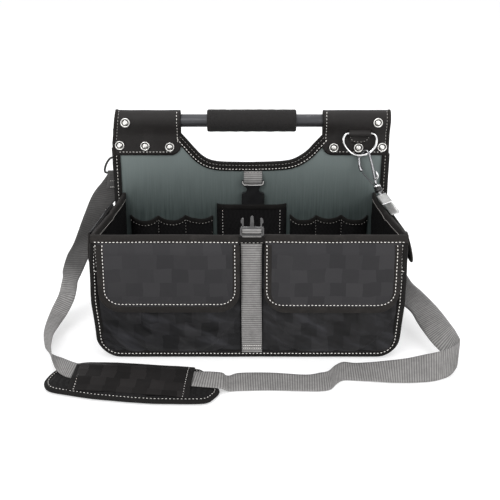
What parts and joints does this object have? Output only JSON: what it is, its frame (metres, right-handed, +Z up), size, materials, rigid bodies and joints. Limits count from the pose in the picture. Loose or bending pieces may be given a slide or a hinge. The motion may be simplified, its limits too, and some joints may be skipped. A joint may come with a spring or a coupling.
{
  "type": "garden tool bag",
  "caption": "Open-top fabric tool bag with a stiff tall back, a padded tube handle, flap pockets, a buckled centre strap, a key ring with a snap hook, and a padded shoulder strap.",
  "frame": {"origin": "middle of the bag's bottom panel, on the floor it stands on", "axes": "+Z up, -Y out of the pocketed front, +X to the right as seen from the front"},
  "size_m": [0.5961, 0.3532, 0.3075],
  "materials": {
    "fabric_black": "matte woven block pattern",
    "lining_grey": "smooth coated cloth",
    "tape_black": "ribbed binding tape with light stitching",
    "stiffener_board": "plain",
    "webbing_grey": "ribbed webbing",
    "leather_black": "fine grain",
    "handle_paint": "satin dark grey",
    "grip_foam": "matt closed-cell foam",
    "chrome": "polished",
    "black_wire": "satin black",
    "plastic_black": "fine texture",
    "plastic_grey": "fine texture"
  },
  "bodies": {
    "bag": {"back_board": "stiffener_board", "back_cover": "fabric_black", "back_edge_binding_left": "tape_black", "back_edge_binding_right": "tape_black", "back_lining": "lining_grey", "bottom_board": "stiffener_board", "bottom_panel": "fabric_black", "buckle_tab": "webbing_grey", "cutout_binding": "tape_black", "front_edge_binding": "tape_black", "front_panel": "fabric_black", "front_pocket_left": "fabric_black", "front_pocket_right": "fabric_black", "front_rim_binding": "tape_black", "front_strap": "webbing_grey", "gusset_left": "fabric_black", "gusset_right": "fabric_black", "handle_ear_left": "leather_black", "handle_ear_right": "leather_black", "handle_grip": "grip_foam", "handle_tube": "handle_paint", "inner_loops_left": "fabric_black", "inner_loops_right": "fabric_black", "inner_pocket_centre": "fabric_black", "key_ring_loop": "leather_black", "rivet_left_1": "chrome", "rivet_left_2": "chrome", "rivet_left_3": "chrome", "rivet_left_top": "chrome", "rivet_right_1": "chrome", "rivet_right_2": "chrome", "rivet_right_3": "chrome", "rivet_right_top": "chrome", "shoulder_chape_left": "tape_black", "shoulder_chape_right": "tape_black", "shoulder_ring_left": "black_wire", "shoulder_ring_right": "black_wire", "shoulder_strap": "webbing_grey", "side_pocket_left": "fabric_black", "side_pocket_right": "fabric_black", "strap_keeper": "tape_black"},
    "front_flap_left": {"front_flap_left": "fabric_black"},
    "front_flap_right": {"front_flap_right": "fabric_black"},
    "side_flap_left": {"side_flap_left": "fabric_black"},
    "side_flap_right": {"side_flap_right": "fabric_black"},
    "front_buckle": {"front_strap_tab": "webbing_grey", "buckle_male": "plastic_grey"},
    "latch_left": {"buckle_latch_left": "plastic_grey"},
    "latch_right": {"buckle_latch_right": "plastic_grey"},
    "rear_buckle": {"buckle_female": "plastic_black"},
    "key_ring": {"key_ring": "chrome"},
    "snap_hook": {"snap_hook": "chrome", "hook_collar": "chrome"},
    "hook_gate": {"hook_gate": "chrome"},
    "clip": {"hook_swivel": "plastic_black", "clip_plate": "chrome"},
    "clip_lever": {"clip_lever": "chrome"},
    "shoulder_pad": {"shoulder_pad": "fabric_black", "pad_sleeve": "fabric_black"}
  },
  "joints": [
    {"name": "front_flap_left_open", "type": "hinge", "parent": "bag", "child": "front_flap_left", "pos_m": [-0.108, -0.1064, 0.1755], "axis": [-1, 0, 0], "range_deg": [0, 170]},
    {"name": "front_flap_right_open", "type": "hinge", "parent": "bag", "child": "front_flap_right", "pos_m": [0.113, -0.1064, 0.1755], "axis": [-1, 0, 0], "range_deg": [0, 170]},
    {"name": "side_flap_left_open", "type": "hinge", "parent": "bag", "child": "side_flap_left", "pos_m": [-0.21548, -0.01062, 0.1745], "axis": [0.1219, 0.9925, 0], "range_deg": [0, 110]},
    {"name": "side_flap_right_open", "type": "hinge", "parent": "bag", "child": "side_flap_right", "pos_m": [0.21039, -0.01115, 0.1745], "axis": [0.0983, -0.9952, 0], "range_deg": [0, 65]},
    {"name": "front_buckle_swing", "type": "hinge", "parent": "bag", "child": "front_buckle", "pos_m": [0.00375, -0.1018, 0.186], "axis": [1, 0, 0], "range_deg": [-20, 90], "stiffness_Nm_per_rad": 0.02},
    {"name": "latch_left_squeeze", "type": "hinge", "parent": "front_buckle", "child": "latch_left", "pos_m": [-0.0082, -0.1028, 0.2004], "axis": [0, 1, 0], "range_deg": [0, 8], "stiffness_Nm_per_rad": 0.01},
    {"name": "latch_right_squeeze", "type": "hinge", "parent": "front_buckle", "child": "latch_right", "pos_m": [0.0166, -0.1028, 0.2004], "axis": [0, 1, 0], "range_deg": [-8, 0], "stiffness_Nm_per_rad": 0.01},
    {"name": "rear_buckle_swing", "type": "hinge", "parent": "bag", "child": "rear_buckle", "pos_m": [0.006, 0.0894, 0.1994], "axis": [-1, 0, 0], "range_deg": [0, 80]},
    {"name": "key_ring_swing", "type": "hinge", "parent": "bag", "child": "key_ring", "pos_m": [0.1645, 0.0865, 0.274], "axis": [-1, 0, 0], "range_deg": [0, 75]},
    {"name": "snap_hook_swing", "type": "hinge", "parent": "key_ring", "child": "snap_hook", "pos_m": [0.1768, 0.0848, 0.2438], "axis": [0, 1, 0], "range_deg": [-12, 0]},
    {"name": "hook_gate_open", "type": "hinge", "parent": "snap_hook", "child": "hook_gate", "pos_m": [0.186, 0.0626, 0.2016], "axis": [0.4938, 0.8307, -0.2569], "range_deg": [0, 18], "stiffness_Nm_per_rad": 0.005},
    {"name": "clip_swivel", "type": "hinge", "parent": "snap_hook", "child": "clip", "pos_m": [0.1898, 0.061, 0.2016], "axis": [0.3269, -0.5912, -0.7373], "range_deg": [-100, 0]},
    {"name": "clip_lever_open", "type": "hinge", "parent": "clip", "child": "clip_lever", "pos_m": [0.2019, 0.021, 0.1876], "axis": [-0.937, -0.1414, -0.3196], "range_deg": [0, 35], "stiffness_Nm_per_rad": 0.005},
    {"name": "shoulder_pad_slide", "type": "slide", "parent": "bag", "child": "shoulder_pad", "axis": [0.992, -0.1259, 0], "range_m": [-0.006, 0.003]}
  ],
  "couplings": [
    {"joint": "latch_right_squeeze", "follows": "latch_left_squeeze", "ratio": -1}
  ]
}
